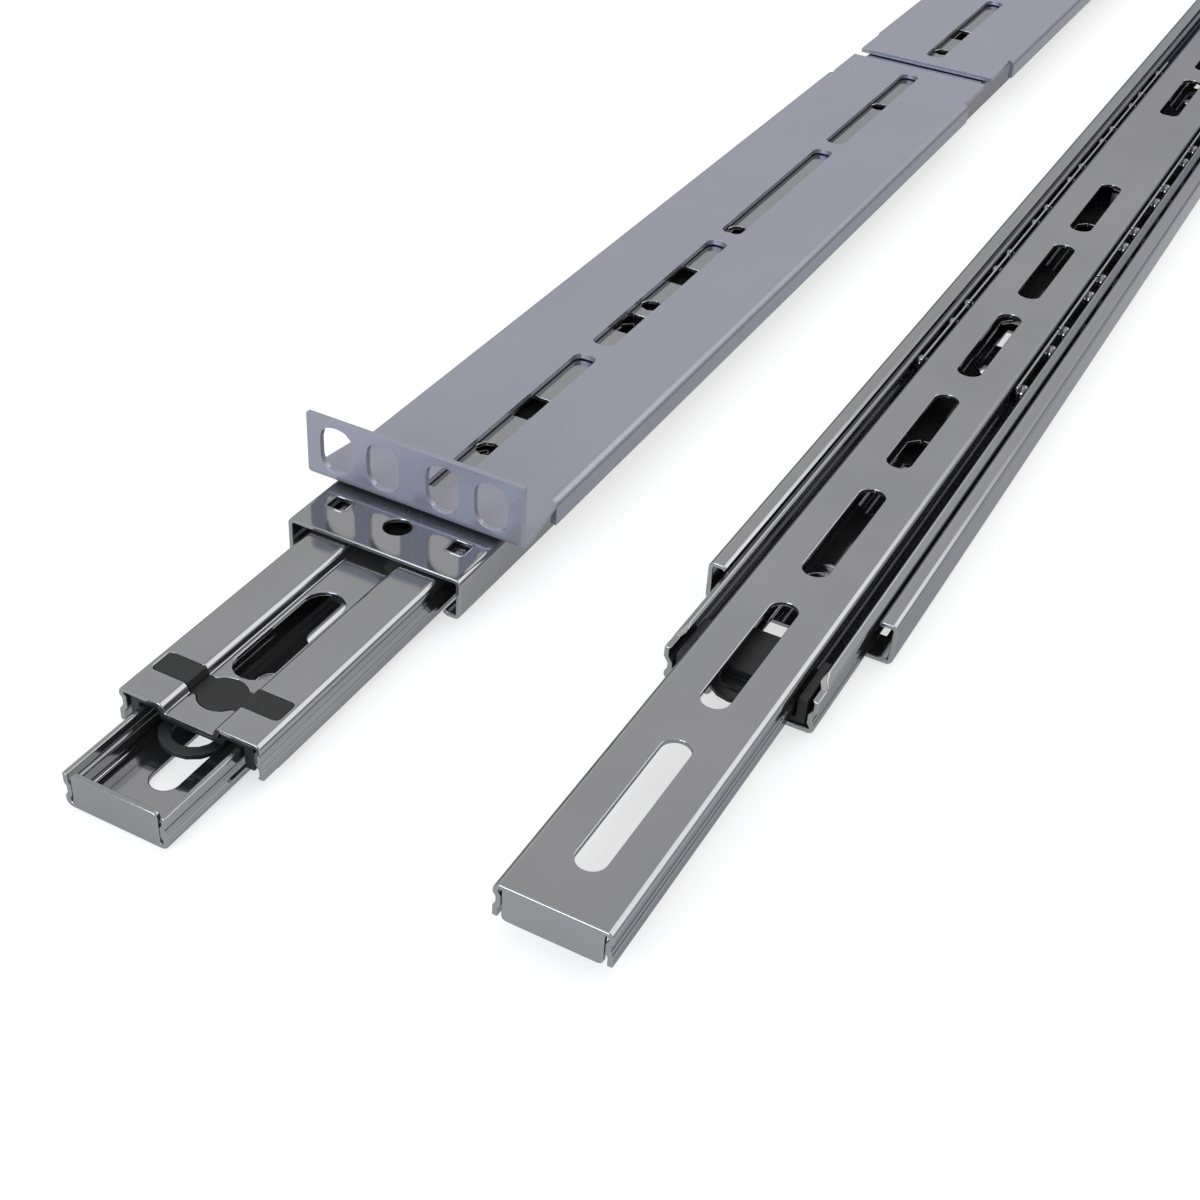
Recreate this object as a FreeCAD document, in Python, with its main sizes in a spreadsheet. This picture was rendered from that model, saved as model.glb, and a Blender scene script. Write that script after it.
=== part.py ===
import FreeCAD, Part
import math
import os
import Sketcher

# A pair of three-section ball bearing rails for a server rack, in millimetres.
# X runs across the pair, Y along the rails from the front to the back of the rack, Z up.
# The left rail lies with the back of its outer member up, under its two rack brackets.
# The right rail lies on the back of its outer member, with its inner member on top.
# The origin is at the middle of the pair, on the surface that the rails lie on.

SIZES = {
    # lengths of the three members, and the travel from one to the next
    "outer_length": 660,
    "middle_length": 655,
    "inner_length": 650,
    "inner_travel": 330,
    # how the pair is laid out, and how far each rail is pulled out
    "rail_spacing": 87.1,
    "right_rail_back": 39.6,
    "left_middle_out": 64.3,
    "left_inner_out": 22.6,
    "right_middle_out": 32.5,
    "right_inner_out": 79.8,
    # outer member, a channel with lips curled towards its web
    "outer_width": 45.8,
    "outer_depth": 10.75,
    "outer_sheet": 1.2,
    "outer_lip": 4.6,
    "outer_curl": 1.1,
    "outer_curl_drop": 0.6,
    "outer_bend": 0.4,
    # middle member, with a trough along its web, an S in each wall and a lip over the inner balls
    "web_gap": 0.4,
    "middle_side_gap": 4.2,
    "middle_sheet": 1.2,
    "middle_depth": 9.05,
    "middle_bend": 0.3,
    "trough_width": 11.8,
    "trough_draft": 0.7,
    "trough_depth": 2.0,
    "race_bulge": 0.35,
    "bulge_below": 1.25,
    "bulge_above": 0.95,
    "lip_lean": 0.15,
    "lip_reach": 1.6,
    "lip_rise": 1.5,
    "lip_front": 4.5,
    "lip_slope": 4.5,
    "lip_trim": 0.15,
    # inner member, a channel that opens towards the middle member's web
    "tip_gap": 1.91,
    "inner_side_gap": 3.9,
    "inner_sheet": 1.2,
    "inner_depth": 8.36,
    "inner_bend": 0.5,
    "end_plate_width": 21.0,
    "end_plate_drop": 8.7,
    "end_plate_corner": 1.0,
    "end_plate_sheet": 1.2,
    # balls, their races and their cages
    "ball_size": 4.76,
    "ball_play": 0.05,
    "race_half": 0.85,
    "race_flank": 0.825,
    "inner_race_rise": 4.2,
    "cage_sheet": 0.6,
    "cage_height": 5.8,
    "cage_cell": 38.5,
    "cage_cells": 7,
    "outer_cage_offset": 0,
    "inner_cage_offset": 0.5,
    "ball_chamfer": 1.5,
    "first_ball": 4.0,
    "outer_cage_back": 175,
    "inner_cage_back": 185,
    "outer_ball_pitch": 89.8,
    "outer_balls": 3,
    # holes and slots in the members
    "front_hole_size": 6.6,
    "front_hole_back": 10.2,
    "lance_size": 4.8,
    "lance_reach": 16.0,
    "lance_back": 10.7,
    "screw_hole_size": 6.0,
    "clip_hole_width": 7.0,
    "clip_hole_length": 11.0,
    "middle_slot_width": 9.6,
    "first_middle_slot": 17.0,
    "middle_slot_length": 33.4,
    "second_middle_slot": 79.0,
    "long_middle_slot": 39.0,
    "middle_slot_pitch": 77.5,
    "middle_slots": 6,
    "inner_slot_width": 6.4,
    "inner_slot_length": 40.7,
    "first_inner_slot": 11.3,
    "inner_slot_pitch": 52.7,
    "inner_slots": 7,
    "rear_inner_slot": 438.6,
    "rear_inner_slots": 2,
    # front bumper of the middle member
    "bar_front": 8.0,
    "bar_length": 6.3,
    "bar_width": 31.4,
    "bar_corner": 1.0,
    "tab_radius": 5.3,
    "tab_front": 5.5,
    "bumper_fit": 0.05,
    "liner_sheet": 1.4,
    "liner_front": 0.6,
    "liner_length": 14.2,
    "cheek_height": 6.6,
    "cheek_gap": 0.45,
    "block_front": 3.5,
    "block_back": 18.4,
    "block_width": 13.0,
    "block_height": 3.8,
    "loop_radius": 7.5,
    "loop_middle": 2.0,
    "loop_bar": 2.6,
    "loop_depth": 1.8,
    "loop_sheet": 1.4,
    # release lever under the inner member's web, and the rivet that it turns on
    "rivet_place": 431,
    "rivet_size": 4.0,
    "rivet_head": 6.0,
    "rivet_head_height": 0.5,
    "pivot_play": 0.05,
    "lever_sheet": 1.2,
    "lever_width": 7.0,
    "lever_gap": 0.3,
    "lever_tail": 12.0,
    "stop_height": 1.8,
    "stop_set_back": 0.6,
    "stop_width": 5.0,
    "stop_gap": 0.3,
    # rack brackets
    "bracket_front": 16.4,
    "bracket_sheet": 1.5,
    "bracket_gap": 0.3,
    "bracket_bend": 0.7,
    "bracket_length": 333.6,
    "bracket_split": 7.3,
    "flange_width": 53.5,
    "flange_drop": 5.0,
    "flange_start": 19.6,
    "flange_tail": 22.0,
    "bracket_tail_width": 50.0,
    "ear_width": 57.5,
    "ear_height": 17.0,
    "ear_bend": 1.0,
    "ear_hole_width": 8.8,
    "ear_hole_height": 12.0,
    "ear_hole_corner": 3.6,
    "ear_hole_middle": 9.1,
    "ear_hole_inner_pitch": 15.875,
    "ear_hole_outer_pitch": 12.7,
    "bracket_slot_width": 6.2,
    "bracket_slot_bridge": 6.8,
    "bracket_slot_margin": 7.6,
    "first_bracket_slot": 9.6,
    "bracket_slots": 4,
}

# Places of the screw holes and clip holes along the outer member, from its front end
SCREW_HOLES = {"screw_hole_a": 49.5, "screw_hole_b": 137.1, "screw_hole_c": 194.2,
               "screw_hole_d": 311.8, "screw_hole_e": 376.7}
CLIP_HOLES = {"clip_hole_a": 71.7, "clip_hole_b": 124.6, "clip_hole_c": 158.2,
              "clip_hole_d": 398.6, "clip_hole_e": 588.3}


class Length:
    """A size, with the expression that ties it to the sheet."""

    def __init__(self, value, text):
        self.value = float(value)
        self.text = text

    def __add__(self, other):
        other = as_length(other)
        return Length(self.value + other.value, "(%s + %s)" % (self.text, other.text))

    def __sub__(self, other):
        other = as_length(other)
        return Length(self.value - other.value, "(%s - %s)" % (self.text, other.text))

    def __mul__(self, other):
        other = as_length(other)
        return Length(self.value * other.value, "(%s * %s)" % (self.text, other.text))

    def __truediv__(self, other):
        other = as_length(other)
        return Length(self.value / other.value, "(%s / %s)" % (self.text, other.text))

    def __neg__(self):
        return Length(-self.value, "(0 - %s)" % self.text)


def as_length(value):
    """Take a plain number as a length too."""
    if isinstance(value, Length):
        return value
    return Length(value, "%.9f" % value)


class Sheet:
    """The driving sizes, each read by its name."""

    def __getattr__(self, name):
        return Length(ALL_SIZES[name], "Sizes." + name)


ALL_SIZES = {**SIZES, **SCREW_HOLES, **CLIP_HOLES}
size = Sheet()
ZERO = as_length(0)
doc = FreeCAD.newDocument("rail_pair")
parts = []

# Depths from the back of the outer member towards the chassis, and half widths
middle_back = size.outer_sheet + size.web_gap
middle_inside = middle_back + size.middle_sheet
trough_inside = middle_inside + size.trough_depth
middle_edge = middle_back + size.middle_depth
inner_tip = middle_inside + size.tip_gap
slide_depth = inner_tip + size.inner_depth
inner_inside = slide_depth - size.inner_sheet
lever_top = inner_inside - size.lever_gap
outer_half = size.outer_width / 2
middle_half = outer_half - size.outer_sheet - size.middle_side_gap
inner_half = middle_half - size.middle_sheet - size.inner_side_gap
outer_race = size.outer_depth / 2
inner_race = inner_tip + size.inner_race_rise
ball_room = size.ball_size + size.ball_play * 2
middle_groove = middle_half + size.middle_side_gap - ball_room
middle_bulge = middle_half + size.race_bulge
inner_groove = inner_half + size.inner_side_gap + size.race_bulge - ball_room
outer_ball_side = outer_half - size.outer_sheet - ball_room / 2
inner_ball_side = inner_groove + ball_room / 2
flange_end = size.bracket_length - size.flange_tail
slot_run = size.bracket_length - size.first_bracket_slot - size.bracket_slot_margin
bracket_slot_pitch = (slot_run + size.bracket_slot_bridge) / size.bracket_slots
bracket_slot_length = bracket_slot_pitch - size.bracket_slot_bridge
stop_front = size.first_middle_slot + size.middle_slot_length + size.stop_set_back

# Places of the two rails in the pair
pair_width = size.ear_width / 2 + size.rail_spacing + outer_half
left_x = size.ear_width / 2 - pair_width / 2
right_x = left_x + size.rail_spacing
front_y = (size.left_middle_out + size.left_inner_out - size.right_rail_back - size.outer_length) / 2
RAILS = {
    "left": {"x": left_x, "y": front_y, "middle": size.left_middle_out, "inner": size.left_inner_out},
    "right": {"x": right_x, "y": front_y + size.right_rail_back,
              "middle": size.right_middle_out, "inner": size.right_inner_out},
}


def fill_sheet():
    """Write every driving size into the sheet, with its name as the alias."""
    sheet = doc.addObject("Spreadsheet::Sheet", "Sizes")
    for row, (name, value) in enumerate(ALL_SIZES.items(), 1):
        sheet.set("A%d" % row, name)
        sheet.set("B%d" % row, str(value))
        sheet.setAlias("B%d" % row, name)
    doc.recompute()


def origin_feature(body, role):
    """One of the body's own origin planes or axes."""
    return next(item for item in body.Origin.OriginFeatures if item.Role == role)


def new_body(name):
    """A sub-part, whose label is also its file's name."""
    body = doc.addObject("PartDesign::Body", name)
    body.Label = name
    parts.append(body)
    return body


def new_sketch(body, name, role, offset=None):
    """A sketch on one of the body's origin planes, moved along the plane's normal."""
    sketch = body.newObject("Sketcher::SketchObject", name)
    sketch.AttachmentSupport = (origin_feature(body, role), [""])
    sketch.MapMode = "FlatFace"
    if offset is not None:
        sketch.setExpression("AttachmentOffset.Base.z", offset.text)
    return sketch


def bind_distance(sketch, direction, geometry, point, place):
    """Hold one coordinate of a sketch point at its place, on either side of the origin."""
    if abs(place.value) < 1e-9:
        axis = -2 if direction == "DistanceX" else -1
        sketch.addConstraint(Sketcher.Constraint("PointOnObject", geometry, point, axis))
        return
    if place.value > 0:
        number = sketch.addConstraint(
            Sketcher.Constraint(direction, -1, 1, geometry, point, place.value))
        sketch.setExpression("Constraints[%d]" % number, place.text)
        return
    number = sketch.addConstraint(
        Sketcher.Constraint(direction, geometry, point, -1, 1, -place.value))
    sketch.setExpression("Constraints[%d]" % number, (-place).text)


def draw_outline(sketch, points):
    """A closed outline of straight lines, with every corner tied to the sheet."""
    corners = [FreeCAD.Vector(across.value, up.value, 0) for across, up in points]
    lines = [Part.LineSegment(corner, corners[(index + 1) % len(corners)])
             for index, corner in enumerate(corners)]
    first = sketch.GeometryCount
    sketch.addGeometry(lines, False)
    for index, (across, up) in enumerate(points):
        line = first + index
        following = first + (index + 1) % len(points)
        sketch.addConstraint(Sketcher.Constraint("Coincident", line, 2, following, 1))
        bind_distance(sketch, "DistanceX", line, 1, across)
        bind_distance(sketch, "DistanceY", line, 1, up)


def draw_circle(sketch, across, up, radius):
    """A circle tied to the sheet."""
    centre = FreeCAD.Vector(across.value, up.value, 0)
    circle = sketch.addGeometry(Part.Circle(centre, FreeCAD.Vector(0, 0, 1), radius.value), False)
    bind_distance(sketch, "DistanceX", circle, 3, across)
    bind_distance(sketch, "DistanceY", circle, 3, up)
    number = sketch.addConstraint(Sketcher.Constraint("Radius", circle, radius.value))
    sketch.setExpression("Constraints[%d]" % number, radius.text)


def draw_rectangle(sketch, across, up, width, height):
    """A rectangle about a centre."""
    half = width / 2
    rise = height / 2
    draw_outline(sketch, [(across - half, up - rise), (across + half, up - rise),
                          (across + half, up + rise), (across - half, up + rise)])


def draw_slot(sketch, along, width, length):
    """A slot with round ends, on the middle plane, from the place along onwards."""
    radius = width / 2
    near = along + radius
    far = along + length - radius
    arcs = []
    for centre, start in ((far, 0), (near, math.pi)):
        circle = Part.Circle(FreeCAD.Vector(0, centre.value, 0), FreeCAD.Vector(0, 0, 1), radius.value)
        arc = sketch.addGeometry(Part.ArcOfCircle(circle, start, start + math.pi), False)
        bind_distance(sketch, "DistanceX", arc, 3, ZERO)
        bind_distance(sketch, "DistanceY", arc, 3, centre)
        arcs.append(arc)
    for arc, following in (arcs, arcs[::-1]):
        leave = sketch.Geometry[arc].EndPoint
        reach = sketch.Geometry[following].StartPoint
        line = sketch.addGeometry(Part.LineSegment(leave, reach), False)
        sketch.addConstraint(Sketcher.Constraint("Tangent", arc, 2, line, 1))
        sketch.addConstraint(Sketcher.Constraint("Tangent", line, 2, following, 1))
    number = sketch.addConstraint(Sketcher.Constraint("Radius", arcs[0], radius.value))
    sketch.setExpression("Constraints[%d]" % number, radius.text)


def draw_stepped(sketch, across, up, width, height, corner, steps):
    """A rectangle whose corners are rounded in a few straight steps each, for what repeats."""
    points = []
    for turn, (side, end) in enumerate([(1, 1), (-1, 1), (-1, -1), (1, -1)]):
        middle = (across + (width / 2 - corner) * side, up + (height / 2 - corner) * end)
        for step in range(steps + 1):
            angle = (turn + step / steps) * math.pi / 2
            point = (middle[0] + corner * math.cos(angle), middle[1] + corner * math.sin(angle))
            if not points or apart(points[-1], point) > 1e-6:
                points.append(point)
    if apart(points[0], points[-1]) < 1e-6:
        points.pop()
    draw_outline(sketch, points)


def apart(first, second):
    """How far apart two points of a sketch are."""
    return math.hypot(first[0].value - second[0].value, first[1].value - second[1].value)


def draw_hole(sketch, along, width):
    """A round hole of few faces, on the middle plane."""
    draw_stepped(sketch, ZERO, along, width, width, width / 2, 2)


def add_pad(body, sketch, length, backwards=False, both=False):
    """Thicken a sketch along its normal."""
    pad = body.newObject("PartDesign::Pad", sketch.Name + "_pad")
    pad.Profile = sketch
    pad.setExpression("Length", length.text)
    pad.Reversed = backwards
    pad.Midplane = both
    doc.recompute()
    return pad


def add_pocket(body, sketch, depth, backwards=False, both=False):
    """Cut a sketch into the body, and see that it cuts something."""
    before = body.Shape.Volume
    pocket = body.newObject("PartDesign::Pocket", sketch.Name + "_cut")
    pocket.Profile = sketch
    pocket.setExpression("Length", depth.text)
    pocket.Reversed = backwards
    pocket.Midplane = both
    doc.recompute()
    if body.Shape.Volume >= before - 1e-6:
        raise RuntimeError(sketch.Name + " cuts nothing")
    return pocket


def add_row(body, features, name, pitch, count):
    """Repeat features along Y, count of them one pitch apart."""
    pattern = body.newObject("PartDesign::LinearPattern", name)
    pattern.Originals = features
    pattern.Direction = (origin_feature(body, "Y_Axis"), [""])
    pattern.setExpression("Length", "%s * (%s - 1)" % (pitch.text, count.text))
    pattern.setExpression("Occurrences", count.text)
    body.Tip = pattern
    doc.recompute()
    return pattern


def round_edges(body, places, radius, name, crosswise=False):
    """Round the long edges that run along Y, or along X, at the given places."""
    base = body.Tip
    names = []
    for number, edge in enumerate(base.Shape.Edges, 1):
        start = edge.Vertexes[0].Point
        end = edge.Vertexes[-1].Point
        first = (start.y, start.z) if crosswise else (start.x, start.z)
        last = (end.y, end.z) if crosswise else (end.x, end.z)
        straight = math.dist(first, last) < 1e-6
        if straight and any(math.dist(first, place) < 0.01 for place in places):
            names.append("Edge%d" % number)
    fillet = body.newObject("PartDesign::Fillet", name)
    fillet.Base = (base, names)
    fillet.setExpression("Radius", radius.text)
    doc.recompute()


def unit(start, end):
    """The direction from one point of a line to the next."""
    across = end[0].value - start[0].value
    up = end[1].value - start[1].value
    run = math.hypot(across, up)
    return across / run, up / run


def other_side(line, sheet, side):
    """The far face of a bent sheet whose near face follows a line."""
    moved = []
    for index, (across, up) in enumerate(line):
        turns = []
        if index > 0:
            turns.append(unit(line[index - 1], line[index]))
        if index < len(line) - 1:
            turns.append(unit(line[index], line[index + 1]))
        normals = [(-turn[1] * side, turn[0] * side) for turn in turns]
        shift = (sum(item[0] for item in normals), sum(item[1] for item in normals))
        scale = 2 / (shift[0] ** 2 + shift[1] ** 2) if len(normals) == 2 else 1
        moved.append((across + sheet * (shift[0] * scale), up + sheet * (shift[1] * scale)))
    return moved


def mirrored(points):
    """The same points on the other side of the rail's middle plane."""
    return [(-across, up) for across, up in points]


def bent_sheet(body, name, line, sheet, bend, length, side, start=None):
    """A roll-formed length of sheet.

    The line is one face of the right half of its section, from the middle plane outwards.
    Each bend of 60 degrees or more has the radius bend on its inside and one sheet more on its
    outside, and the shallow bends of the races stay sharp.
    """
    near = [(ZERO, line[0][1])] + line
    far = other_side(near, sheet, side)
    right = near[1:] + far[:0:-1]
    sketch = new_sketch(body, name, "XZ_Plane", start)
    draw_outline(sketch, right + mirrored(right)[::-1])
    add_pad(body, sketch, length, backwards=True)
    tight = []
    wide = []
    for index in range(1, len(near) - 1):
        before = unit(near[index - 1], near[index])
        after = unit(near[index], near[index + 1])
        turn = before[0] * after[1] - before[1] * after[0]
        if abs(turn) < math.sin(math.pi / 3):
            continue
        towards_far = turn * side > 0
        inside, outside = (far, near) if towards_far else (near, far)
        for sign in (1, -1):
            tight.append((sign * inside[index][0].value, inside[index][1].value))
            wide.append((sign * outside[index][0].value, outside[index][1].value))
    round_edges(body, tight, bend, name + "_tight")
    round_edges(body, wide, bend + sheet, name + "_wide")


def place(body, rail, along):
    """Lay a piece of a rail in the pair, so far along from the outer member's front end."""
    turned = rail == "left"
    body.Placement.Rotation = FreeCAD.Rotation(FreeCAD.Vector(0, 1, 0), 180 if turned else 0)
    body.setExpression("Placement.Base.x", RAILS[rail]["x"].text)
    body.setExpression("Placement.Base.y", (RAILS[rail]["y"] + along).text)
    body.setExpression("Placement.Base.z", slide_depth.text if turned else "0")


def middle_front(rail):
    """Where the middle member's front end is, from the outer member's."""
    return -RAILS[rail]["middle"]


def inner_front(rail):
    """Where the inner member's front end is, from the outer member's."""
    return -RAILS[rail]["middle"] - RAILS[rail]["inner"]


def outer_line():
    """The outer member's back and right wall, with the curled lip."""
    lip = outer_half - size.outer_lip
    return [(outer_half, ZERO),
            (outer_half, size.outer_depth),
            (lip + size.outer_curl, size.outer_depth),
            (lip, size.outer_depth - size.outer_curl_drop)]


def middle_line():
    """The middle member's outside: trough, web, and the wall with its two races."""
    trough = size.trough_width / 2
    return [(trough, middle_back + size.trough_depth),
            (trough + size.trough_draft, middle_back),
            (middle_half, middle_back),
            (middle_half, outer_race - size.race_half - size.race_flank),
            (middle_groove, outer_race - size.race_half),
            (middle_groove, outer_race + size.race_half),
            (middle_bulge, inner_race - size.bulge_below),
            (middle_bulge, inner_race + size.bulge_above),
            (middle_bulge - size.lip_lean, middle_edge),
            (middle_bulge - size.lip_lean - size.lip_reach, middle_edge + size.lip_rise)]


def inner_line():
    """The inner member's outside: web, wall with its race, and flared tip."""
    return [(inner_half, slide_depth),
            (inner_half, inner_race + size.race_half + size.race_flank),
            (inner_groove, inner_race + size.race_half),
            (inner_groove, inner_race - size.race_half),
            (inner_half, inner_race - size.race_half - size.race_flank),
            (inner_half, inner_tip)]


def outer_member(rail):
    """The fixed channel, with its front lances and its row of holes."""
    name = rail + "_outer_member"
    body = new_body(name)
    bent_sheet(body, name + "_channel", outer_line(), size.outer_sheet, size.outer_bend,
               size.outer_length, 1)
    depth = size.outer_sheet * 1.5
    holes = new_sketch(body, name + "_screw_holes", "XY_Plane")
    draw_circle(holes, ZERO, size.front_hole_back, size.front_hole_size / 2)
    for hole in SCREW_HOLES:
        draw_hole(holes, getattr(size, hole), size.screw_hole_size)
    add_pocket(body, holes, depth, backwards=True)
    square = new_sketch(body, name + "_square_holes", "XY_Plane")
    for hole in CLIP_HOLES:
        draw_rectangle(square, ZERO, getattr(size, hole), size.clip_hole_width, size.clip_hole_length)
    for side in (-1, 1):
        draw_rectangle(square, size.lance_reach * side, size.lance_back, size.lance_size, size.lance_size)
    add_pocket(body, square, depth, backwards=True)
    place(body, rail, ZERO)


def round_tab(sketch, radius):
    """The bumper's round tab, or the bay that it fills in the middle member's trough."""
    width = radius * 2
    draw_stepped(sketch, ZERO, size.tab_front + size.tab_radius, width, width, radius, 5)


def draw_arch(sketch, centre, radius, back):
    """An arch that bends round towards the front, with straight sides to the back."""
    points = [(radius, back)]
    for step in range(9):
        angle = math.pi * step / 8
        points.append((radius * math.cos(angle), centre - radius * math.sin(angle)))
    points.append((-radius, back))
    draw_outline(sketch, points)


def middle_member(rail):
    """The middle channel, with slots in its trough, a window for the bumper and a stop."""
    name = rail + "_middle_member"
    body = new_body(name)
    bent_sheet(body, name + "_channel", middle_line(), size.middle_sheet, size.middle_bend,
               size.middle_length, 1)
    depth = trough_inside + size.middle_sheet / 2
    first = new_sketch(body, name + "_first_slot", "XY_Plane")
    draw_stepped(first, ZERO, size.first_middle_slot + size.middle_slot_length / 2,
                 size.middle_slot_width, size.middle_slot_length, size.middle_slot_width / 2, 4)
    add_pocket(body, first, depth, backwards=True)
    slot = new_sketch(body, name + "_slot", "XY_Plane")
    draw_stepped(slot, ZERO, size.second_middle_slot + size.long_middle_slot / 2,
                 size.middle_slot_width, size.long_middle_slot, size.middle_slot_width / 4, 1)
    cut = add_pocket(body, slot, depth, backwards=True)
    add_row(body, [cut], name + "_slots", size.middle_slot_pitch, size.middle_slots)
    window = new_sketch(body, name + "_window", "XY_Plane")
    draw_stepped(window, ZERO, size.bar_front + size.bar_length / 2, size.bar_width,
                 size.bar_length, size.bar_corner, 2)
    add_pocket(body, window, depth, backwards=True)
    bay = new_sketch(body, name + "_bay", "XY_Plane")
    round_tab(bay, size.tab_radius)
    add_pocket(body, bay, depth, backwards=True)
    lips = new_sketch(body, name + "_lip_ends", "YZ_Plane")
    above = middle_edge + size.lip_rise * 1.5
    rounded = size.lip_front + size.lip_slope
    trimmed = middle_edge - size.lip_trim
    draw_outline(lips, [(ZERO, trimmed), (size.lip_front, trimmed),
                        (size.lip_front + size.lip_slope * 0.4, middle_edge + size.lip_rise * 0.6),
                        (rounded, middle_edge + size.lip_rise), (rounded, above), (ZERO, above)])
    add_pocket(body, lips, size.outer_width, both=True)
    stop = new_sketch(body, name + "_stop", "XZ_Plane", -stop_front)
    half = size.stop_width / 2
    low = trough_inside - size.middle_sheet / 2
    high = trough_inside + size.stop_height
    draw_outline(stop, [(half, low), (half, high), (-half, high), (-half, low)])
    add_pad(body, stop, size.middle_sheet, backwards=True)
    place(body, rail, middle_front(rail))


def inner_member(rail):
    """The inner channel that the server's chassis hangs on, closed by a bent end plate."""
    name = rail + "_inner_member"
    body = new_body(name)
    bent_sheet(body, name + "_channel", inner_line(), size.inner_sheet, size.inner_bend,
               size.inner_length, -1)
    plate = new_sketch(body, name + "_end_plate", "XZ_Plane")
    half = size.end_plate_width / 2
    low = slide_depth - size.end_plate_drop
    high = slide_depth - size.inner_sheet / 2
    corner = size.end_plate_corner
    right = [(half - corner, low), (half - corner * 0.3, low + corner * 0.3), (half, low + corner),
             (half, high)]
    draw_outline(plate, right + mirrored(right)[::-1])
    add_pad(body, plate, size.end_plate_sheet, backwards=True)
    depth = size.inner_sheet * 1.5
    slot = new_sketch(body, name + "_slot", "XY_Plane", slide_depth)
    draw_slot(slot, size.first_inner_slot, size.inner_slot_width, size.inner_slot_length)
    cut = add_pocket(body, slot, depth)
    add_row(body, [cut], name + "_slots", size.inner_slot_pitch, size.inner_slots)
    rear = new_sketch(body, name + "_rear_slot", "XY_Plane", slide_depth)
    draw_slot(rear, size.rear_inner_slot, size.inner_slot_width, size.inner_slot_length)
    cut = add_pocket(body, rear, depth)
    add_row(body, [cut], name + "_rear_slots", size.inner_slot_pitch, size.rear_inner_slots)
    rivet = new_sketch(body, name + "_rivet", "XY_Plane", lever_top - size.lever_sheet - size.lever_gap)
    draw_circle(rivet, ZERO, size.rivet_place, size.rivet_size / 2)
    add_pad(body, rivet, size.lever_sheet + size.lever_gap * 2 + size.inner_sheet / 2)
    head = new_sketch(body, name + "_rivet_head", "XY_Plane", lever_top - size.lever_sheet - size.lever_gap)
    draw_stepped(head, ZERO, size.rivet_place, size.rivet_head, size.rivet_head, size.rivet_head / 2, 3)
    add_pad(body, head, size.rivet_head_height, backwards=True)
    place(body, rail, inner_front(rail))


def draw_hexagon(sketch, along, up, radius):
    """A regular hexagon, flat above and below, about a centre."""
    half = radius * math.tan(math.pi / 6)
    ring = [(half, radius), (-half, radius), (half * -2, ZERO), (-half, -radius), (half, -radius),
            (half * 2, ZERO)]
    draw_outline(sketch, [(along + across, up + rise) for across, rise in ring])


def ball_cage(name, rail, side, race, row):
    """A flat strip along one race, with a row of balls held in it.

    Each ball is a six-sided block with every edge of its two ends chamfered.
    """
    strip_side, ball_side, up = race
    first, pitch, count, front = row
    body = new_body(name)
    strip = new_sketch(body, name + "_strip", "YZ_Plane", strip_side * side)
    length = size.cage_cell * size.cage_cells
    low = up - size.cage_height / 2
    high = up + size.cage_height / 2
    draw_outline(strip, [(ZERO, low), (length, low), (length, high), (ZERO, high)])
    add_pad(body, strip, size.cage_sheet, both=True)
    radius = size.ball_size / 2
    balls = new_sketch(body, name + "_balls", "YZ_Plane", ball_side * side)
    for number in range(int(count.value)):
        draw_hexagon(balls, first + pitch * number, up, radius)
    blocks = add_pad(body, balls, size.ball_size, both=True)
    ends = [ball_side.value * side - radius.value, ball_side.value * side + radius.value]
    names = []
    for number, edge in enumerate(blocks.Shape.Edges, 1):
        places = [vertex.Point.x for vertex in edge.Vertexes]
        if any(all(abs(place - end) < 1e-6 for place in places) for end in ends):
            names.append("Edge%d" % number)
    chamfer = body.newObject("PartDesign::Chamfer", name + "_ball_ends")
    chamfer.Base = (blocks, names)
    chamfer.setExpression("Size", size.ball_chamfer.text)
    doc.recompute()
    place(body, rail, front)


def ball_cages(rail):
    """The cages between the outer and middle members, and the middle and inner ones."""
    outer_front = size.outer_cage_back - RAILS[rail]["middle"] / 2
    inner_start = middle_front(rail) + size.inner_cage_back - RAILS[rail]["inner"] / 2
    for label, side in (("a", 1), ("b", -1)):
        ball_cage("%s_outer_ball_cage_%s" % (rail, label), rail, side,
                  (outer_ball_side - size.outer_cage_offset, outer_ball_side, outer_race),
                  (size.outer_ball_pitch / 2, size.outer_ball_pitch, size.outer_balls, outer_front))
        ball_cage("%s_inner_ball_cage_%s" % (rail, label), rail, side,
                  (inner_ball_side - size.inner_cage_offset, inner_ball_side, inner_race),
                  (size.first_ball, size.cage_cell, size.cage_cells, inner_start))


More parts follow.
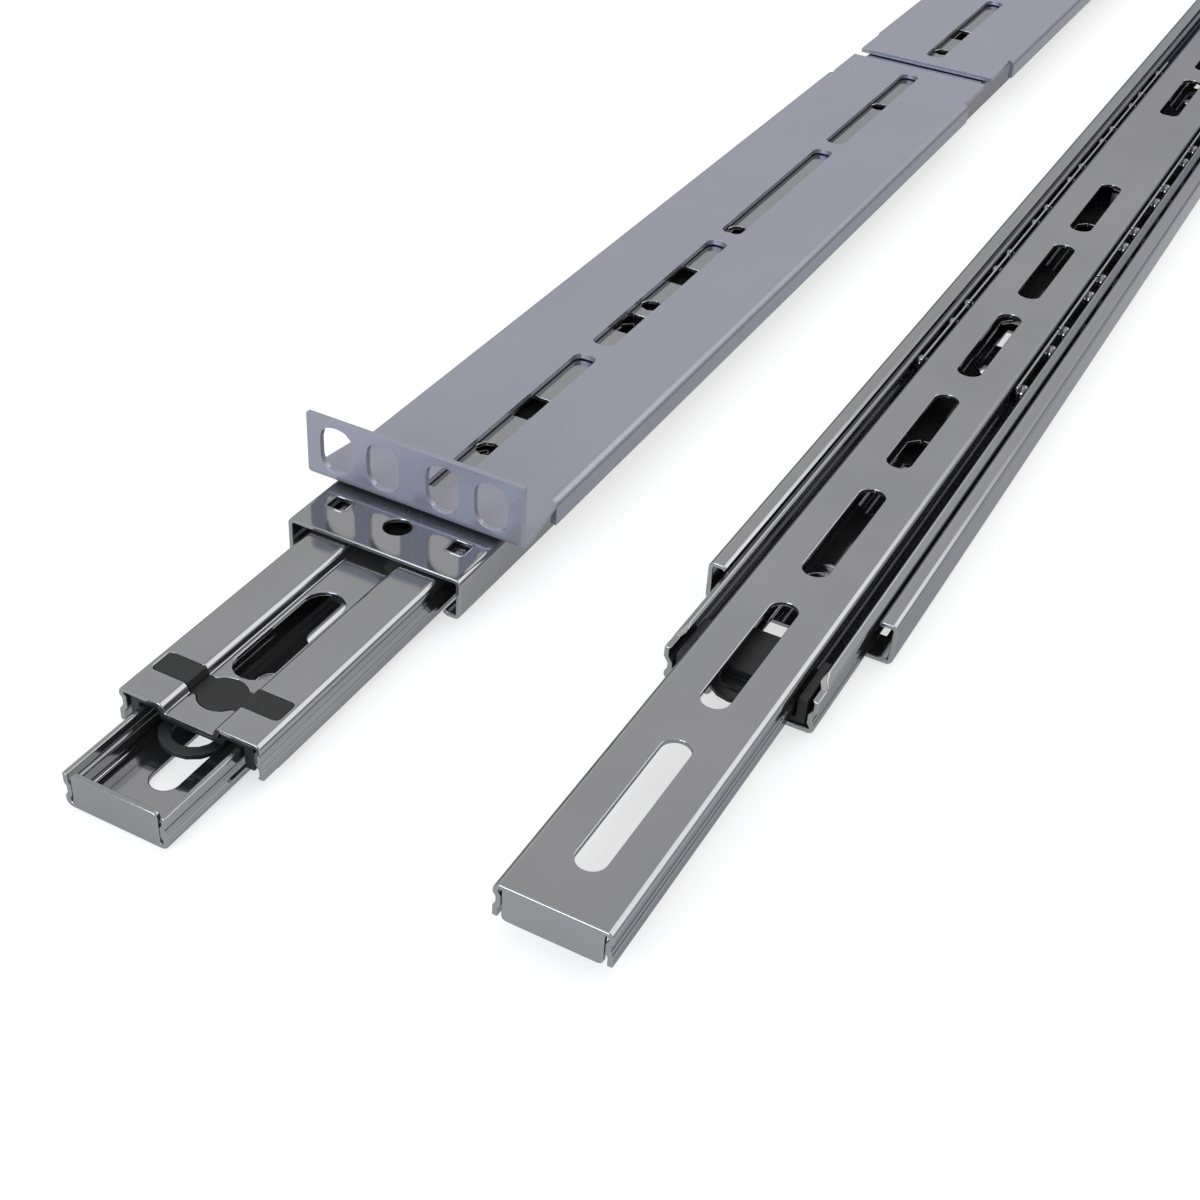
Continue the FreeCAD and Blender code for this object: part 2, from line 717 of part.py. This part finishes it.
def front_bumper(rail):
    """The moulded bumper clipped into the middle member's front end."""
    name = rail + "_front_bumper"
    body = new_body(name)
    fit = size.bumper_fit
    trough = size.trough_width / 2
    ceiling = middle_inside + fit
    floor = trough_inside + fit
    step = size.middle_sheet * 0.75
    cheek_outside = middle_groove - size.middle_sheet - size.cheek_gap
    cheek_inside = inner_half + size.cheek_gap
    bar = new_sketch(body, name + "_bar", "XY_Plane", middle_back)
    draw_stepped(bar, ZERO, size.bar_front + size.bar_length / 2, size.bar_width - fit * 2,
                 size.bar_length - fit * 2, size.bar_corner - fit, 2)
    add_pad(body, bar, size.middle_sheet + size.liner_sheet / 2)
    groove = new_sketch(body, name + "_groove", "XZ_Plane", -size.bar_front)
    high = middle_back + size.trough_depth
    wide = trough + size.trough_draft
    draw_outline(groove, [(wide, middle_back), (trough, high), (-trough, high), (-wide, middle_back)])
    add_pocket(body, groove, size.bar_length)
    plug = new_sketch(body, name + "_plug", "XY_Plane", high)
    draw_rectangle(plug, ZERO, size.bar_front + size.bar_length / 2, wide * 2, size.bar_length - fit * 2)
    add_pad(body, plug, size.middle_sheet + size.liner_sheet)
    tab = new_sketch(body, name + "_tab", "XY_Plane", high)
    round_tab(tab, size.tab_radius - fit)
    add_pad(body, tab, size.middle_sheet + size.liner_sheet)
    liner = new_sketch(body, name + "_liner", "XZ_Plane", -size.liner_front)
    right = [(trough + step, floor), (trough + step + size.trough_draft, ceiling),
             (cheek_outside, ceiling), (cheek_outside, ceiling + size.cheek_height),
             (cheek_inside, ceiling + size.cheek_height), (cheek_inside, ceiling + size.liner_sheet),
             (trough + step * 3, ceiling + size.liner_sheet), (trough + step * 2, floor + size.liner_sheet)]
    draw_outline(liner, right + mirrored(right)[::-1])
    add_pad(body, liner, size.liner_length, backwards=True)
    block = new_sketch(body, name + "_block", "XY_Plane", floor)
    length = size.block_back - size.block_front
    draw_rectangle(block, ZERO, size.block_front + length / 2, size.block_width, length)
    add_pad(body, block, size.block_height)
    loop = new_sketch(body, name + "_loop", "XY_Plane", floor + size.loop_depth)
    draw_arch(loop, size.loop_middle, size.loop_radius, size.block_front + size.loop_bar / 2)
    draw_arch(loop, size.loop_middle, size.loop_radius - size.loop_bar,
              size.block_front + size.loop_bar / 4)
    add_pad(body, loop, size.loop_sheet)
    place(body, rail, middle_front(rail))


def release_lever(rail):
    """The latch arm under the inner member's web, which turns on the rivet there."""
    name = rail + "_release_lever"
    body = new_body(name)
    nose = stop_front + size.middle_sheet + size.inner_travel + size.stop_gap - size.rivet_place
    arm = new_sketch(body, name + "_arm", "XY_Plane", lever_top)
    draw_stepped(arm, ZERO, (nose + size.lever_tail) / 2, size.lever_width, size.lever_tail - nose,
                 size.lever_width / 5, 2)
    add_pad(body, arm, size.lever_sheet, backwards=True)
    hook = new_sketch(body, name + "_hook", "XZ_Plane", -nose)
    half = size.stop_width / 2
    low = trough_inside + size.stop_gap
    draw_outline(hook, [(half, low), (half, lever_top), (-half, lever_top), (-half, low)])
    add_pad(body, hook, size.lever_sheet, backwards=True)
    hole = new_sketch(body, name + "_pivot", "XY_Plane", lever_top)
    draw_circle(hole, ZERO, ZERO, size.rivet_size / 2 + size.pivot_play)
    add_pocket(body, hole, size.lever_sheet * 2)
    place(body, rail, inner_front(rail) + size.rivet_place)


def rack_bracket(name, turned, along):
    """A slotted cover plate with side flanges and a punched ear for the rack post."""
    body = new_body(name)
    half = size.flange_width / 2
    drop = -size.flange_drop
    sheet = size.bracket_sheet
    bent_sheet(body, name + "_flanges", [(half, sheet), (half, drop)], sheet, size.bracket_bend,
               flange_end - size.flange_start, -1, -size.flange_start)
    plate = new_sketch(body, name + "_plate", "XY_Plane")
    ear = size.ear_width / 2
    tail = size.bracket_tail_width / 2
    shoulder = half - sheet - size.bracket_bend
    right = [(ear, sheet), (ear, sheet * 3), (half, size.flange_start), (shoulder, size.flange_start),
             (shoulder, flange_end), (tail, flange_end + sheet * 2), (tail, size.bracket_length)]
    draw_outline(plate, right + mirrored(right)[::-1])
    add_pad(body, plate, sheet)
    profile = new_sketch(body, name + "_ear", "YZ_Plane")
    draw_outline(profile, [(ZERO, ZERO), (sheet * 2, ZERO), (sheet * 2, sheet), (sheet, sheet),
                           (sheet, size.ear_height), (ZERO, size.ear_height)])
    add_pad(body, profile, size.ear_width, both=True)
    round_edges(body, [(sheet.value, sheet.value)], size.ear_bend, name + "_ear_inside", True)
    round_edges(body, [(0, 0)], size.ear_bend + sheet, name + "_ear_outside", True)
    slot = new_sketch(body, name + "_slot", "XY_Plane")
    draw_stepped(slot, ZERO, size.first_bracket_slot + bracket_slot_length / 2,
                 size.bracket_slot_width, bracket_slot_length, size.bracket_slot_width * 0.35, 3)
    cut = add_pocket(body, slot, sheet, backwards=True)
    add_row(body, [cut], name + "_slots", bracket_slot_pitch, size.bracket_slots)
    holes = new_sketch(body, name + "_ear_holes", "XZ_Plane")
    near = size.ear_hole_inner_pitch / 2
    for centre in (near, near + size.ear_hole_outer_pitch):
        for side in (-1, 1):
            draw_stepped(holes, centre * side, size.ear_hole_middle, size.ear_hole_width,
                         size.ear_hole_height, size.ear_hole_corner, 3)
    add_pocket(body, holes, sheet)
    body.Placement.Rotation = FreeCAD.Rotation(FreeCAD.Vector(0, 0, 1), 180 if turned else 0)
    body.setExpression("Placement.Base.x", RAILS["left"]["x"].text)
    body.setExpression("Placement.Base.y", (RAILS["left"]["y"] + along).text)
    body.setExpression("Placement.Base.z", (slide_depth + size.bracket_gap).text)


def build():
    """Make every piece of both rails."""
    fill_sheet()
    for rail in RAILS:
        outer_member(rail)
        middle_member(rail)
        inner_member(rail)
        ball_cages(rail)
        front_bumper(rail)
        release_lever(rail)
    rack_bracket("left_front_bracket", False, size.bracket_front)
    ears_apart = size.bracket_length * 2 + size.bracket_split
    rack_bracket("left_rear_bracket", True, size.bracket_front + ears_apart)
    doc.recompute()


def check():
    """See that every object is sound before anything is written."""
    for item in doc.Objects:
        if "Invalid" in item.State or "Error" in item.State:
            raise RuntimeError(item.Name + " did not recompute")
    for part in parts:
        if part.Shape.isNull() or not part.Shape.isValid():
            raise RuntimeError(part.Label + " has no valid shape")


def write():
    """Write each piece to a file named after it."""
    os.makedirs("parts", exist_ok=True)
    for part in parts:
        part.Shape.exportStep("parts/%s.step" % part.Label)
        print("%-28s %6d solids %12.1f mm3" % (part.Label, len(part.Shape.Solids), part.Shape.Volume))


build()
check()
write()
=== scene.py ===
import math

import bmesh
import bpy
from mathutils import Matrix, Vector


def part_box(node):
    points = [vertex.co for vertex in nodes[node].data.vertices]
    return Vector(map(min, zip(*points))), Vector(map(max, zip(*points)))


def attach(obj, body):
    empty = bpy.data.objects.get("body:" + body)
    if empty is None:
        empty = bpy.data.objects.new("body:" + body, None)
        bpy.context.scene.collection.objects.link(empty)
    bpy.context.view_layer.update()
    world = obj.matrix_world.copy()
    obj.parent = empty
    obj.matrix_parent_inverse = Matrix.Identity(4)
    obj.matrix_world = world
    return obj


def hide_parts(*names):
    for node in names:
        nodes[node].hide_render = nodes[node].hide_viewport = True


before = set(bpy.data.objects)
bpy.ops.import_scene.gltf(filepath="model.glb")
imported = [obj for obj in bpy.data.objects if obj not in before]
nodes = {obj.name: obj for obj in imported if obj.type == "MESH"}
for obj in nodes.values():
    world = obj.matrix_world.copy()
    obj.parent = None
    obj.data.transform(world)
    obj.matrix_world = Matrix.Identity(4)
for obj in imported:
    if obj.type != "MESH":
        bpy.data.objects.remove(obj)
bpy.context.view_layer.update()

# The pair of rails with rounded edges, full rows of balls and plated steel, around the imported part.
# Lengths are in metres.

MM = 0.001
scene = bpy.context.scene

# The way that each rail's open side faces: -1 is down and 1 is up
OPEN_SIDES = {"left": -1, "right": 1}


# Node materials

# The colour that the metals reflect at a flat angle
EDGE_TINT = (0.5, 0.5, 0.54, 1)

# The scale of the soft clouds of colour, and the noise levels of the darkest and lightest colour
METAL_CLOUDS = 28
METAL_CLOUD_ENDS = (0.3, 0.7)
PLASTIC_CLOUDS = 160
PLASTIC_CLOUD_ENDS = (0.3, 0.75)

METAL_BUMP = 0.02 * MM
METAL_GRAIN_ROUGH = 0.6
PLASTIC_BUMP = 0.04 * MM
PLASTIC_GRAIN = 2600
PLASTIC_SHINE = 0.3


def shader(name):
    """A new material, its node tree and its main shader."""
    material = bpy.data.materials.new(name)
    material.use_nodes = True
    return material, material.node_tree, material.node_tree.nodes["Principled BSDF"]


def noise(tree, scale, detail=4, rough=0.5, along=1):
    """Noise over the object's own coordinates: a scale per metre, and the share of it along the rail."""
    place = tree.nodes.new("ShaderNodeTexCoord")
    mapping = tree.nodes.new("ShaderNodeMapping")
    mapping.inputs["Scale"].default_value = (1, along, 1)
    texture = tree.nodes.new("ShaderNodeTexNoise")
    texture.inputs["Scale"].default_value = scale
    texture.inputs["Detail"].default_value = detail
    texture.inputs["Roughness"].default_value = rough
    tree.links.new(place.outputs["Object"], mapping.inputs["Vector"])
    tree.links.new(mapping.outputs["Vector"], texture.inputs["Vector"])
    return texture.outputs["Fac"]


def ramp(tree, factor, stops):
    """Colours or levels along a factor."""
    stops = list(stops)
    node = tree.nodes.new("ShaderNodeValToRGB")
    elements = node.color_ramp.elements
    while len(elements) < len(stops):
        elements.new(0.5)
    for element, (place, colour) in zip(elements, stops):
        element.position = place
        element.color = (*colour, 1) if isinstance(colour, tuple) else (colour, colour, colour, 1)
    tree.links.new(factor, node.inputs["Fac"])
    return node.outputs["Color"]


def span(tree, factor, low, high):
    """A factor from 0 to 1 spread between two levels."""
    node = tree.nodes.new("ShaderNodeMapRange")
    node.inputs["To Min"].default_value = low
    node.inputs["To Max"].default_value = high
    tree.links.new(factor, node.inputs["Value"])
    return node.outputs["Result"]


def calculate(tree, operation, *values):
    """The result of one operation on levels and numbers."""
    node = tree.nodes.new("ShaderNodeMath")
    node.operation = operation
    for socket, value in zip(node.inputs, values):
        if isinstance(value, (int, float)):
            socket.default_value = value
        else:
            tree.links.new(value, socket)
    return node.outputs[0]


def add_bump(tree, surface, height, strength, distance):
    """Bump on the surface from a height."""
    node = tree.nodes.new("ShaderNodeBump")
    node.inputs["Strength"].default_value = strength
    node.inputs["Distance"].default_value = distance
    tree.links.new(height, node.inputs["Height"])
    tree.links.new(node.outputs["Normal"], surface.inputs["Normal"])


def metal(name, dark, light, gloss, grain, along=1, bump=0.0, share=0.94):
    """Metal whose colour, gloss and grain vary a little over its surface.

    The gloss is the lowest and highest roughness, and the share is how far it is a metal.
    """
    material, tree, surface = shader(name)
    surface.inputs["Metallic"].default_value = share
    surface.inputs["Specular Tint"].default_value = EDGE_TINT
    cloud = noise(tree, METAL_CLOUDS)
    colours = ramp(tree, cloud, zip(METAL_CLOUD_ENDS, (dark, light)))
    tree.links.new(colours, surface.inputs["Base Color"])
    lines = noise(tree, grain, rough=METAL_GRAIN_ROUGH, along=along)
    tree.links.new(span(tree, lines, *gloss), surface.inputs["Roughness"])
    if bump:
        add_bump(tree, surface, lines, bump, METAL_BUMP)
    return material


def plastic(name, dark, light, gloss, bump):
    """Moulded plastic with a fine eroded texture."""
    material, tree, surface = shader(name)
    surface.inputs["Specular IOR Level"].default_value = PLASTIC_SHINE
    cloud = noise(tree, PLASTIC_CLOUDS)
    colours = ramp(tree, cloud, zip(PLASTIC_CLOUD_ENDS, (dark, light)))
    tree.links.new(colours, surface.inputs["Base Color"])
    grain = noise(tree, PLASTIC_GRAIN, detail=2)
    tree.links.new(span(tree, grain, *gloss), surface.inputs["Roughness"])
    add_bump(tree, surface, grain, bump, PLASTIC_BUMP)
    return material


ROLLED = metal("plated_rolled_steel", dark=(0.256, 0.257, 0.265), light=(0.282, 0.282, 0.286),
               gloss=(0.07, 0.12), grain=900, along=0.03, bump=0.08)
CAGE = metal("bright_cage_steel", dark=(0.30, 0.30, 0.31), light=(0.36, 0.36, 0.37),
             gloss=(0.08, 0.16), grain=1400, along=0.05, bump=0.1)
BALL = metal("polished_ball_steel", dark=(0.18, 0.18, 0.19), light=(0.22, 0.22, 0.23),
             gloss=(0.03, 0.07), grain=1500, bump=0.03)
SATIN = metal("satin_bracket_steel", dark=(0.242, 0.245, 0.287), light=(0.255, 0.258, 0.303),
              gloss=(0.25, 0.29), grain=400, along=0.2, share=0.5)
SPRING = metal("spring_steel", dark=(0.26, 0.26, 0.26), light=(0.32, 0.32, 0.32),
               gloss=(0.25, 0.38), grain=700, along=0.04, bump=0.2)
PLASTIC = plastic("black_moulded_plastic", dark=(0.007, 0.007, 0.007), light=(0.010, 0.010, 0.010),
                  gloss=(0.38, 0.6), bump=0.25)


# The members, bumpers, levers and brackets with rounded edges

ROLLED_EDGE = 0.3 * MM
LEVER_EDGE = 0.15 * MM
BRACKET_EDGE = 0.1 * MM
EDGE_ANGLE = math.radians(30)
SAME_POINT = 0.002 * MM
FLAT_ANGLE = math.radians(0.6)
FACE_WEIGHT = 100


def add_object(name, mesh):
    """Put a mesh into the scene under a name."""
    piece = bpy.data.objects.new(name, mesh)
    scene.collection.objects.link(piece)
    return piece


def add_made(name, made):
    """Put what was made into the scene under a name."""
    mesh = bpy.data.meshes.new(name)
    made.to_mesh(mesh)
    made.free()
    return add_object(name, mesh)


def finish_piece(piece, material, body):
    """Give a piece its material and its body."""
    piece.data.materials.clear()
    piece.data.materials.append(material)
    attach(piece, body)


def soften(piece, width, segments=3):
    """Round the piece's sharp edges, and let its flat faces keep their normals."""
    bevel = piece.modifiers.new("edges", "BEVEL")
    bevel.width = width
    bevel.segments = segments
    bevel.limit_method = "ANGLE"
    bevel.angle_limit = EDGE_ANGLE
    bevel.use_clamp_overlap = False
    bevel.face_strength_mode = "FSTR_ALL"
    normals = piece.modifiers.new("normals", "WEIGHTED_NORMAL")
    normals.weight = FACE_WEIGHT
    normals.keep_sharp = True
    normals.use_face_influence = True


def smooth_copy(node, body, material, width, split=False):
    """A copy of a CAD node with rounded edges, which stands for the node.

    A split along the middle plane leaves no face with a hole in it.
    """
    mesh = nodes[node].data.copy()
    made = bmesh.new()
    made.from_mesh(mesh)
    bmesh.ops.remove_doubles(made, verts=made.verts, dist=SAME_POINT)
    bmesh.ops.dissolve_limit(made, angle_limit=FLAT_ANGLE, verts=made.verts, edges=made.edges)
    if split:
        low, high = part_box(node)
        bmesh.ops.bisect_plane(made, geom=made.verts[:] + made.edges[:] + made.faces[:],
                               plane_co=((low[0] + high[0]) / 2, 0, 0), plane_no=(1, 0, 0))
    for face in made.faces:
        face.smooth = True
    made.to_mesh(mesh)
    made.free()
    piece = add_object(node + "_finished", mesh)
    soften(piece, width)
    finish_piece(piece, material, body)
    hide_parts(node)


for rail in OPEN_SIDES:
    smooth_copy(rail + "_outer_member", "base", ROLLED, ROLLED_EDGE)
    smooth_copy(rail + "_middle_member", rail + "_middle", ROLLED, ROLLED_EDGE)
    smooth_copy(rail + "_inner_member", rail + "_inner", ROLLED, ROLLED_EDGE, split=True)
    smooth_copy(rail + "_front_bumper", rail + "_middle", PLASTIC, ROLLED_EDGE)
    smooth_copy(rail + "_release_lever", rail + "_lever", SPRING, LEVER_EDGE)
for end in ("front", "rear"):
    bracket = "left_%s_bracket" % end
    smooth_copy(bracket, bracket, SATIN, BRACKET_EDGE)


# Ball cages: a bright strip with every ball in its place

BALL_RADIUS = 2.38 * MM
BALL_MERIDIANS = 24
BALL_RINGS = 16

STRIP = 0.6 * MM
STRIP_EDGE = 0.08 * MM
STRIP_EDGE_STEPS = 2

# The thickness of the strip between its cells, as a share of the strip's own
BRIDGE_SHARE = 0.9

# Both kinds of cages have two balls a cell, placed from the cell's front end
OUTER_CELLS = 8
OUTER_BALLS = (8.42 * MM, 25.26 * MM)
INNER_CELLS = 7
INNER_BALLS = (4 * MM, 29.5 * MM)

# The strip of an inner cage lies nearer to the rail's middle than its balls, has a notch after each
# cell and stands out on the rail's open side
INNER_SHIFT = 0.8 * MM
INNER_NOTCH = 0.6 * MM
INNER_LIFT = 0.5 * MM


def corners(node):
    """The lowest and highest corner of a CAD node's box."""
    low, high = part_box(node)
    return Vector(low), Vector(high)


def add_box(made, low, high):
    """A closed box from its lowest corner to its highest."""
    size = high - low
    place = Matrix.Translation((low + high) / 2) @ Matrix.Diagonal((*size, 1))
    bmesh.ops.create_cube(made, size=1, matrix=place)


def cage_strip(node, body, cells, shift=0.0, notch=0.0, lift=0.0):
    """The strip of a cage, which stands for the cage's CAD node.

    It stands out by the lift, up or down, and its notches are twice as deep on that side.
    """
    low, high = corners(node)
    cell = (high.y - low.y) / cells
    strip = (low.x + high.x) / 2 + shift
    bottom = low.z + min(lift, 0)
    top = high.z + max(lift, 0)
    made = bmesh.new()
    for number in range(cells):
        near = low.y + cell * number + (notch if number else 0)
        far = low.y + cell * (number + 1) - (notch if number < cells - 1 else 0)
        add_box(made, Vector((strip - STRIP / 2, near, bottom)), Vector((strip + STRIP / 2, far, top)))
    bridge = STRIP / 2 * BRIDGE_SHARE
    add_box(made, Vector((strip - bridge, low.y, bottom + notch * (2 if lift < 0 else 1))),
            Vector((strip + bridge, high.y, top - notch * (2 if lift > 0 else 1))))
    cage = add_made(node + "_strip", made)
    finish_piece(cage, CAGE, body)
    soften(cage, STRIP_EDGE, STRIP_EDGE_STEPS)
    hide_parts(node)


def cage_balls(node, body, cells, places):
    """The balls of a cage, on the middle line of the cage's CAD node."""
    low, high = corners(node)
    cell = (high.y - low.y) / cells
    middle = (low + high) / 2
    made = bmesh.new()
    for number in range(cells):
        for place in places:
            spot = Matrix.Translation((middle.x, low.y + cell * number + place, middle.z))
            bmesh.ops.create_uvsphere(made, u_segments=BALL_MERIDIANS, v_segments=BALL_RINGS,
                                      radius=BALL_RADIUS, matrix=spot)
    for face in made.faces:
        face.smooth = True
    finish_piece(add_made(node + "_balls", made), BALL, body)


for rail, open_side in OPEN_SIDES.items():
    for label, side in (("a", 1), ("b", -1)):
        # Side a is at the low end of x on the left rail, and at the high end on the right one
        inward = -side * open_side
        cage = "%s_inner_ball_cage_%s" % (rail, label)
        cage_strip(cage, rail + "_inner_cage", INNER_CELLS, shift=INNER_SHIFT * inward,
                   notch=INNER_NOTCH, lift=INNER_LIFT * open_side)
        cage_balls(cage, rail + "_inner_cage", INNER_CELLS, INNER_BALLS)
        cage = "%s_outer_ball_cage_%s" % (rail, label)
        cage_strip(cage, rail + "_outer_cage", OUTER_CELLS)
        cage_balls(cage, rail + "_outer_cage", OUTER_CELLS, OUTER_BALLS)


# Raised rims around the two square holes in the front of the left outer member

BEAD_RADIUS = 0.32 * MM
BEAD_SIDES = 10
RIM_HALF = 2.5 * MM
RIM_CORNER = 0.7 * MM
CORNER_STEPS = 4
RIM_ACROSS = 16 * MM
RIM_BACK = 10.7 * MM
RIM_SUNK = 0.1 * MM


def rim_path():
    """The points of a square with rounded corners round zero, each with its outward direction."""
    path = []
    for turn, (side_x, side_y) in enumerate(((1, 1), (-1, 1), (-1, -1), (1, -1))):
        corner = Vector((side_x, side_y, 0)) * (RIM_HALF - RIM_CORNER)
        for step in range(CORNER_STEPS + 1):
            angle = math.radians(90 * (turn + step / CORNER_STEPS))
            outward = Vector((math.cos(angle), math.sin(angle), 0))
            path.append((corner + outward * RIM_CORNER, outward))
    return path


def add_rim(name, centre):
    """A bead that runs round a square hole."""
    made = bmesh.new()
    rings = []
    for spot, outward in rim_path():
        ring = []
        for step in range(BEAD_SIDES):
            angle = math.radians(360 / BEAD_SIDES * step)
            offset = outward * math.cos(angle) + Vector((0, 0, math.sin(angle)))
            ring.append(made.verts.new(centre + spot + offset * BEAD_RADIUS))
        rings.append(ring)
    for number, ring in enumerate(rings):
        following = rings[(number + 1) % len(rings)]
        for step in range(BEAD_SIDES):
            after = (step + 1) % BEAD_SIDES
            face = made.faces.new((ring[step], following[step], following[after], ring[after]))
            face.smooth = True
    bmesh.ops.recalc_face_normals(made, faces=made.faces)
    finish_piece(add_made(name, made), ROLLED, "base")


outer_low, outer_high = corners("left_outer_member")
hole_middle = Vector(((outer_low.x + outer_high.x) / 2, outer_low.y + RIM_BACK, outer_high.z - RIM_SUNK))
for label, side in (("a", -1), ("b", 1)):
    add_rim("left_hole_rim_" + label, hole_middle + Vector((RIM_ACROSS * side, 0, 0)))


# Camera at the photograph's angle

SENSOR = 36
LENS = 53.76
CLIP_START = 0.01
CLIP_END = 20
CAMERA_PLACE = (0.1454, -0.57305, 0.24657)
CAMERA_RIGHT = (0.8793, 0.4729, 0.0559)
CAMERA_FORWARD = (-0.3475, 0.7174, -0.6038)

camera_data = bpy.data.cameras.new("camera")
camera_data.sensor_width = SENSOR
camera_data.lens = LENS
camera_data.clip_start = CLIP_START
camera_data.clip_end = CLIP_END
camera = bpy.data.objects.new("camera", camera_data)
scene.collection.objects.link(camera)
forward = Vector(CAMERA_FORWARD).normalized()
up = Vector(CAMERA_RIGHT).normalized().cross(forward).normalized()
right = forward.cross(up).normalized()
turned = Matrix((right, up, -forward)).transposed()
camera.matrix_world = Matrix.Translation(CAMERA_PLACE) @ turned.to_4x4()
scene.camera = camera


# Floor: a pale grey that catches the shadow, with a glow that makes it white where it is seen

FLOOR_HALF = 6
FLOOR_GAP = 0.3 * MM
FLOOR_GREY = 0.36
FLOOR_GLOW = 0.63


def seen_rays(tree):
    """1 for the rays that see a surface straight, in a reflection or through glass."""
    path = tree.nodes.new("ShaderNodeLightPath")
    straight = calculate(tree, "MAXIMUM", path.outputs["Is Camera Ray"], path.outputs["Is Glossy Ray"])
    return calculate(tree, "MAXIMUM", straight, path.outputs["Is Transmission Ray"])


def floor_paint():
    """The floor's grey and glow."""
    material, tree, surface = shader("pale_floor")
    tree.nodes.remove(surface)
    plain = tree.nodes.new("ShaderNodeBsdfDiffuse")
    plain.inputs["Color"].default_value = (FLOOR_GREY, FLOOR_GREY, FLOOR_GREY, 1)
    glow = tree.nodes.new("ShaderNodeEmission")
    tree.links.new(span(tree, seen_rays(tree), 0, FLOOR_GLOW), glow.inputs["Strength"])
    both = tree.nodes.new("ShaderNodeAddShader")
    tree.links.new(plain.outputs[0], both.inputs[0])
    tree.links.new(glow.outputs[0], both.inputs[1])
    tree.links.new(both.outputs[0], tree.nodes["Material Output"].inputs["Surface"])
    return material


made = bmesh.new()
bmesh.ops.create_grid(made, x_segments=1, y_segments=1, size=FLOOR_HALF,
                      matrix=Matrix.Translation((0, 0, -FLOOR_GAP)))
floor = add_made("floor", made)
floor.data.materials.append(floor_paint())


# Surroundings: levels and colours by height, and a bright window on one side

SKY_LEVELS = [(0.0, 0.5), (0.12, 0.6), (0.24, 1.15), (0.37, 1.2), (0.52, 1.04), (0.62, 1.0),
              (0.8, 0.85), (1.0, 0.8)]
SKY_COLOURS = [(0.0, (0.86, 0.9, 1.0)), (0.3, (1.0, 1.0, 1.0))]
WINDOW_LEVEL = 1.7

# The window's lower and upper end along each axis, and the width of its soft ends
WINDOW_ENDS = {"Z": (0.38, 0.8, 0.06), "Y": (0.5, 0.78, 0.08), "X": (0.08, 0.75, 0.1)}


def between(tree, value, low, high, soft):
    """1 while a value lies between two levels, with soft ends."""
    sides = []
    for start, stop in ((low - soft, low), (high + soft, high)):
        node = tree.nodes.new("ShaderNodeMapRange")
        node.interpolation_type = "SMOOTHSTEP"
        node.inputs["From Min"].default_value = start
        node.inputs["From Max"].default_value = stop
        tree.links.new(value, node.inputs["Value"])
        sides.append(node.outputs["Result"])
    return calculate(tree, "MULTIPLY", *sides)


world = bpy.data.worlds.new("studio")
world.use_nodes = True
scene.world = world
tree = world.node_tree
sky = tree.nodes["Background"]
place = tree.nodes.new("ShaderNodeTexCoord")
split = tree.nodes.new("ShaderNodeSeparateXYZ")
tree.links.new(place.outputs["Generated"], split.inputs[0])
window = 1
for axis, ends in WINDOW_ENDS.items():
    window = calculate(tree, "MULTIPLY", between(tree, split.outputs[axis], *ends), window)
level = ramp(tree, split.outputs["Z"], SKY_LEVELS)
bright = calculate(tree, "MULTIPLY_ADD", window, WINDOW_LEVEL, level)
tree.links.new(bright, sky.inputs["Strength"])
tree.links.new(ramp(tree, split.outputs["Z"], SKY_COLOURS), sky.inputs["Color"])


# Lamps

def soft_box(name, place, target, width, height, power, colour):
    """A soft light that looks at a target."""
    data = bpy.data.lights.new(name, "AREA")
    data.shape = "RECTANGLE"
    data.size = width
    data.size_y = height
    data.energy = power
    data.color = colour
    lamp = bpy.data.objects.new(name, data)
    scene.collection.objects.link(lamp)
    lamp.location = place
    lamp.rotation_euler = (Vector(target) - Vector(place)).to_track_quat("-Z", "Y").to_euler()


soft_box("top", place=(-0.3, 0.0, 1.6), target=(0, 0, 0),
         width=1.2, height=1.2, power=3, colour=(1, 1, 1))
soft_box("front", place=(-0.3, -1.7, 0.55), target=(0, -0.3, 0),
         width=1.0, height=0.7, power=21, colour=(0.76, 0.85, 1.0))

scene.view_settings.view_transform = "Standard"
